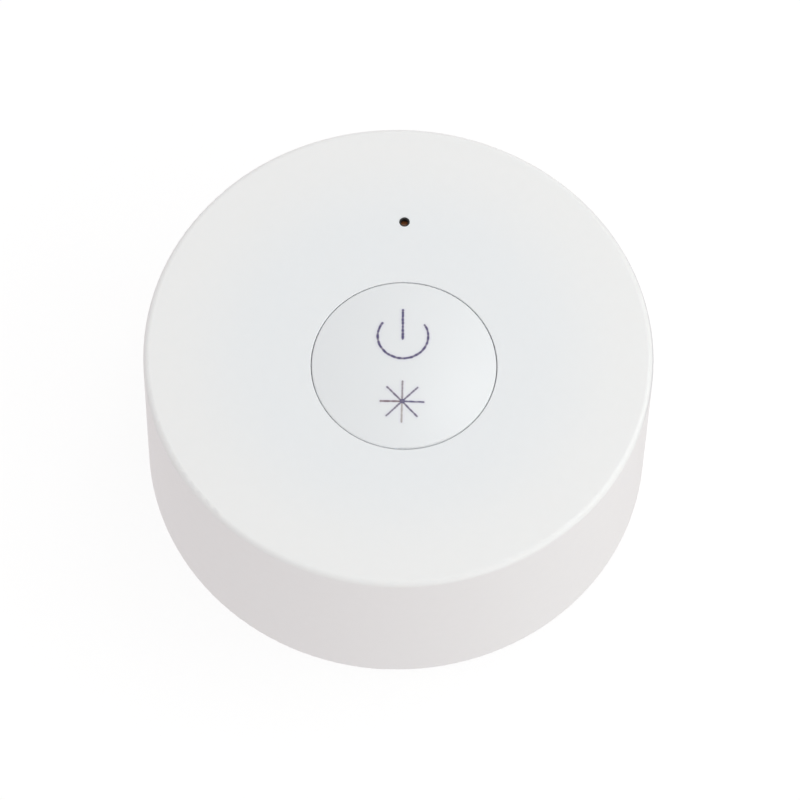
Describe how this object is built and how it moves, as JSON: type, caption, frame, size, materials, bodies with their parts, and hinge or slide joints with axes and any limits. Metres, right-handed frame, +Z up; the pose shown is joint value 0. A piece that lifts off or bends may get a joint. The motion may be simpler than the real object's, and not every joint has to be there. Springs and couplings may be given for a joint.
{
  "type": "rf remote control",
  "caption": "Round puck-shaped radio remote control with a domed push button, a pinhole indicator lamp, a twist-off battery door and a ring foot.",
  "frame": {"origin": "centre of the round case, on the surface that the ring foot stands on", "axes": "+Z up through the button's top face, +Y to the back where the indicator hole is, +X to the right"},
  "size_m": [0.052, 0.052, 0.0228],
  "materials": {
    "case_white": "smooth satin white moulding",
    "button_white": "smooth satin white, slightly glossier than the case",
    "foot_rubber": "matt grey silicone rubber",
    "screw_steel": "zinc plated",
    "board_green": "green solder mask over glass fibre laminate",
    "switch_black": "black moulded nylon",
    "switch_steel": "stamped steel sheet",
    "plunger_plastic": "black moulded stem",
    "tinned_legs": "tinned metal",
    "lamp_lens": "amber tinted clear epoxy",
    "lamp_black": "black nylon",
    "chip_black": "black moulding compound",
    "crystal_steel": "plated metal can",
    "capacitor_tan": "tan ceramic",
    "resistor_black": "black glazed ceramic",
    "aerial_copper": "gold plated copper trace",
    "contact_spring": "nickel plated spring sheet",
    "holder_black": "black moulded nylon",
    "cell_steel": "bright nickel plated steel",
    "cell_gasket": "dark sealing plastic"
  },
  "bodies": {
    "housing": {"top_cover": "case_white", "base_cover": "case_white", "ring_foot": "foot_rubber", "case_screws": "screw_steel", "board_screws": "screw_steel", "circuit_board": "board_green", "switch_base": "switch_black", "switch_frame": "switch_steel", "switch_dome": "switch_steel", "switch_terminals": "tinned_legs", "led_leads": "tinned_legs", "led_body": "lamp_lens", "led_spacer": "lamp_black", "light_shield": "lamp_black", "radio_chip": "chip_black", "crystal": "crystal_steel", "chip_capacitors": "capacitor_tan", "chip_resistors": "resistor_black", "antenna": "aerial_copper", "positive_contact": "contact_spring", "negative_contact": "contact_spring", "cell_holder": "holder_black", "cell_can": "cell_steel", "cell_lid": "cell_steel", "cell_seal": "cell_gasket"},
    "button": {"button_cap": "button_white"},
    "plunger": {"switch_plunger": "plunger_plastic"},
    "door": {"battery_door": "case_white"}
  },
  "joints": [
    {"name": "button_press", "type": "slide", "parent": "housing", "child": "button", "axis": [0, 0, -1], "range_m": [0, 0.0003], "stiffness_N_per_m": 3000},
    {"name": "plunger_press", "type": "slide", "parent": "housing", "child": "plunger", "axis": [0, 0, -1], "range_m": [0, 0.0003], "deforming": ["switch_dome"]},
    {"name": "door_twist", "type": "hinge", "parent": "housing", "child": "door", "pos_m": [0, 0, 0.0015], "axis": [0, 0, -1], "range_deg": [0, 25]}
  ],
  "couplings": [
    {"joint": "plunger_press", "follows": "button_press", "ratio": 1}
  ]
}
